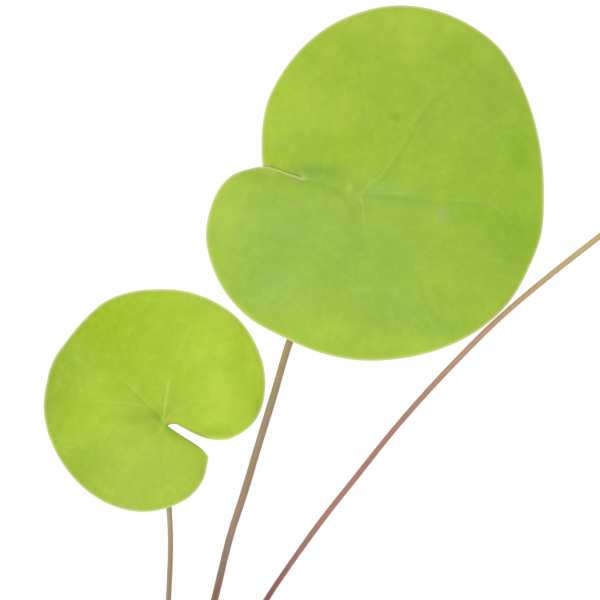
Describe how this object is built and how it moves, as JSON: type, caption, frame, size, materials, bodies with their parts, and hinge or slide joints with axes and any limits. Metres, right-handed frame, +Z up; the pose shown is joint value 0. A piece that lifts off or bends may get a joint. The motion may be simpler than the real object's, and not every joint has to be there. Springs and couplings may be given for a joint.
{
  "type": "bladderwort plant with leaves and runner",
  "caption": "Picked bladderwort lying flat: round notched leaf blades on slender stalks and a long runner, all growing from a short piece of stolon.",
  "frame": {"origin": "centre of the plant's box on the surface that it lies on", "axes": "+Z up from the surface; +Y from the stolon towards the leaf tips; +X to the side that the runner bends to"},
  "size_m": [0.1602, 0.2239, 0.0068],
  "materials": {
    "leaf_green": "soft satin, fleshy leaf",
    "young_leaf_green": "soft satin, fleshy young leaf",
    "stalk_olive": "satin, finely streaked lengthwise",
    "runner_red": "satin, finely streaked lengthwise",
    "stolon_brown": "matt"
  },
  "bodies": {
    "root": {"large_leaf_blade": "leaf_green", "small_leaf_blade": "young_leaf_green", "large_leaf_stalk": "stalk_olive", "small_leaf_stalk": "stalk_olive", "runner": "runner_red", "stolon": "stolon_brown"}
  },
  "joints": []
}
